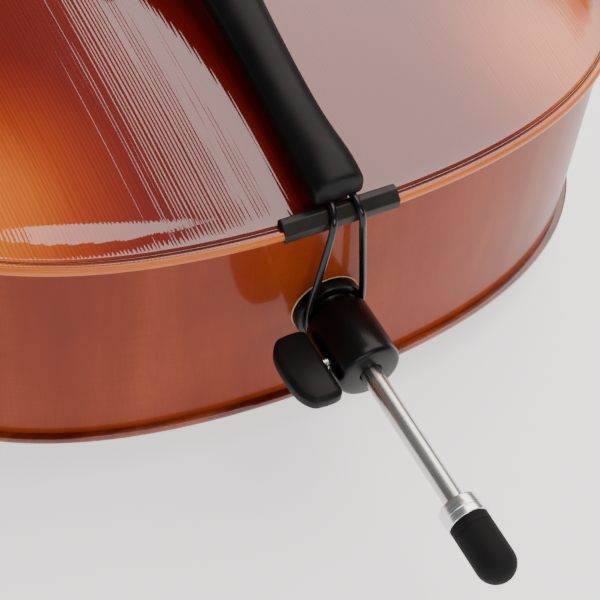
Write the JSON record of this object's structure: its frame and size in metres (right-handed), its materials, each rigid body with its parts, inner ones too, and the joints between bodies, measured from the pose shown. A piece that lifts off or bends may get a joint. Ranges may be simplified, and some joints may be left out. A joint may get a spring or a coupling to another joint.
{
  "type": "cello",
  "caption": "Bowed string instrument with an arched hollow wooden body, scroll, tuning pegs, tailpiece with fine tuners and an extending endpin.",
  "frame": {"origin": "under the middle of the whole instrument, on the surface that its back lies on", "axes": "+Y from the endpin to the scroll, +Z out of the front of the body, +X to the treble side"},
  "size_m": [0.436, 1.375, 0.2668],
  "materials": {
    "spruce_varnish": "gloss",
    "maple_varnish": "gloss",
    "ebony": "satin",
    "raw_wood": "matte",
    "bridge_maple": "matte",
    "purfling": "gloss",
    "black_plastic": "matte",
    "collar_plastic": "satin",
    "cord": "gloss",
    "steel": "brushed",
    "aluminium": "satin",
    "rubber": "matte",
    "string_steel": "wound",
    "tuner_black": "satin"
  },
  "bodies": {
    "body": {"top_plate": "spruce_varnish", "back_plate": "maple_varnish", "lower_rib_bass": "maple_varnish", "lower_rib_treble": "maple_varnish", "c_rib_bass": "maple_varnish", "c_rib_treble": "maple_varnish", "upper_rib_bass": "maple_varnish", "upper_rib_treble": "maple_varnish", "top_linings": "raw_wood", "back_linings": "raw_wood", "neck_block": "raw_wood", "end_block": "raw_wood", "corner_blocks": "raw_wood", "bass_bar": "raw_wood", "sound_post": "raw_wood", "top_purfling": "purfling", "back_purfling": "purfling", "saddle": "ebony", "neck": "maple_varnish", "fingerboard": "ebony", "nut": "ebony", "bridge": "bridge_maple", "string_c": "string_steel", "string_g": "string_steel", "string_d": "string_steel", "string_a": "string_steel", "tailpiece": "black_plastic", "tail_cord": "cord", "lever_pivot_pin": "steel", "endpin_collar": "collar_plastic"},
    "endpin": {"endpin_rod": "steel"},
    "endpin_tip": {"tip_ferrule": "aluminium", "rubber_tip": "rubber"},
    "clamp_bolt": {"clamp_bolt": "steel"},
    "clamp_wing": {"clamp_wing": "black_plastic"},
    "peg_c": {"peg_c": "ebony", "peg_winding_c": "string_steel"},
    "peg_g": {"peg_g": "ebony", "peg_winding_g": "string_steel"},
    "peg_d": {"peg_d": "ebony", "peg_winding_d": "string_steel"},
    "peg_a": {"peg_a": "ebony", "peg_winding_a": "string_steel"},
    "tuner_shank_c": {"tuner_shank_c": "steel"},
    "tuner_head_c": {"tuner_head_c": "tuner_black"},
    "tuner_lever_c": {"tuner_lever_c": "tuner_black"},
    "tuner_shank_g": {"tuner_shank_g": "steel"},
    "tuner_head_g": {"tuner_head_g": "tuner_black"},
    "tuner_lever_g": {"tuner_lever_g": "tuner_black"},
    "tuner_shank_d": {"tuner_shank_d": "steel"},
    "tuner_head_d": {"tuner_head_d": "tuner_black"},
    "tuner_lever_d": {"tuner_lever_d": "tuner_black"},
    "tuner_shank_a": {"tuner_shank_a": "steel"},
    "tuner_head_a": {"tuner_head_a": "tuner_black"},
    "tuner_lever_a": {"tuner_lever_a": "tuner_black"}
  },
  "joints": [
    {"name": "endpin_slide", "type": "slide", "parent": "body", "child": "endpin", "axis": [0, -1, 0], "range_m": [-0.078, 0.28]},
    {"name": "tip_pull", "type": "slide", "parent": "endpin", "child": "endpin_tip", "axis": [0, -1, 0], "range_m": [0, 0.04]},
    {"name": "clamp_screw_travel", "type": "slide", "parent": "body", "child": "clamp_bolt", "axis": [-1, 0, 0], "range_m": [0, 0.0025]},
    {"name": "clamp_screw_turn", "type": "hinge", "parent": "clamp_bolt", "child": "clamp_wing", "pos_m": [-0.02, -0.55363, 0.0884], "axis": [-1, 0, 0], "range_deg": [0, 900]},
    {"name": "peg_c_turn", "type": "hinge", "parent": "body", "child": "peg_c", "pos_m": [0, 0.53647, 0.10408], "axis": [-1, 0, 0], "continuous": true},
    {"name": "peg_g_turn", "type": "hinge", "parent": "body", "child": "peg_g", "pos_m": [0, 0.57876, 0.08868], "axis": [-1, 0, 0], "continuous": true},
    {"name": "peg_d_turn", "type": "hinge", "parent": "body", "child": "peg_d", "pos_m": [0, 0.59943, 0.08116], "axis": [1, 0, 0], "continuous": true},
    {"name": "peg_a_turn", "type": "hinge", "parent": "body", "child": "peg_a", "pos_m": [0, 0.55715, 0.09655], "axis": [1, 0, 0], "continuous": true},
    {"name": "tuner_c_travel", "type": "slide", "parent": "body", "child": "tuner_shank_c", "axis": [0, 0.2079, -0.9781], "range_m": [0, 0.0021]},
    {"name": "tuner_c_turn", "type": "hinge", "parent": "tuner_shank_c", "child": "tuner_head_c", "pos_m": [-0.0234, -0.3258, 0.2076], "axis": [0, 0.2079, -0.9781], "range_deg": [0, 1080]},
    {"name": "tuner_c_lever_tilt", "type": "hinge", "parent": "body", "child": "tuner_lever_c", "pos_m": [-0.0234, -0.298, 0.21146], "axis": [1, 0, 0], "range_deg": [0, 4.3]},
    {"name": "tuner_g_travel", "type": "slide", "parent": "body", "child": "tuner_shank_g", "axis": [0, 0.2079, -0.9781], "range_m": [0, 0.0021]},
    {"name": "tuner_g_turn", "type": "hinge", "parent": "tuner_shank_g", "child": "tuner_head_g", "pos_m": [-0.0078, -0.3258, 0.2076], "axis": [0, 0.2079, -0.9781], "range_deg": [0, 1080]},
    {"name": "tuner_g_lever_tilt", "type": "hinge", "parent": "body", "child": "tuner_lever_g", "pos_m": [-0.0078, -0.298, 0.21146], "axis": [1, 0, 0], "range_deg": [0, 4.3]},
    {"name": "tuner_d_travel", "type": "slide", "parent": "body", "child": "tuner_shank_d", "axis": [0, 0.2079, -0.9781], "range_m": [0, 0.0021]},
    {"name": "tuner_d_turn", "type": "hinge", "parent": "tuner_shank_d", "child": "tuner_head_d", "pos_m": [0.0078, -0.3258, 0.2076], "axis": [0, 0.2079, -0.9781], "range_deg": [0, 1080]},
    {"name": "tuner_d_lever_tilt", "type": "hinge", "parent": "body", "child": "tuner_lever_d", "pos_m": [0.0078, -0.298, 0.21146], "axis": [1, 0, 0], "range_deg": [0, 4.3]},
    {"name": "tuner_a_travel", "type": "slide", "parent": "body", "child": "tuner_shank_a", "axis": [0, 0.2079, -0.9781], "range_m": [0, 0.0021]},
    {"name": "tuner_a_turn", "type": "hinge", "parent": "tuner_shank_a", "child": "tuner_head_a", "pos_m": [0.0234, -0.3258, 0.2076], "axis": [0, 0.2079, -0.9781], "range_deg": [0, 1080]},
    {"name": "tuner_a_lever_tilt", "type": "hinge", "parent": "body", "child": "tuner_lever_a", "pos_m": [0.0234, -0.298, 0.21146], "axis": [1, 0, 0], "range_deg": [0, 4.3]}
  ],
  "couplings": [
    {"joint": "clamp_screw_turn", "follows": "clamp_screw_travel", "rad_per_m": 6283.2},
    {"joint": "tuner_c_turn", "follows": "tuner_c_travel", "rad_per_m": 8976},
    {"joint": "tuner_c_lever_tilt", "follows": "tuner_c_travel", "rad_per_m": 35.64},
    {"joint": "tuner_g_turn", "follows": "tuner_g_travel", "rad_per_m": 8976},
    {"joint": "tuner_g_lever_tilt", "follows": "tuner_g_travel", "rad_per_m": 35.64},
    {"joint": "tuner_d_turn", "follows": "tuner_d_travel", "rad_per_m": 8976},
    {"joint": "tuner_d_lever_tilt", "follows": "tuner_d_travel", "rad_per_m": 35.64},
    {"joint": "tuner_a_turn", "follows": "tuner_a_travel", "rad_per_m": 8976},
    {"joint": "tuner_a_lever_tilt", "follows": "tuner_a_travel", "rad_per_m": 35.64}
  ]
}
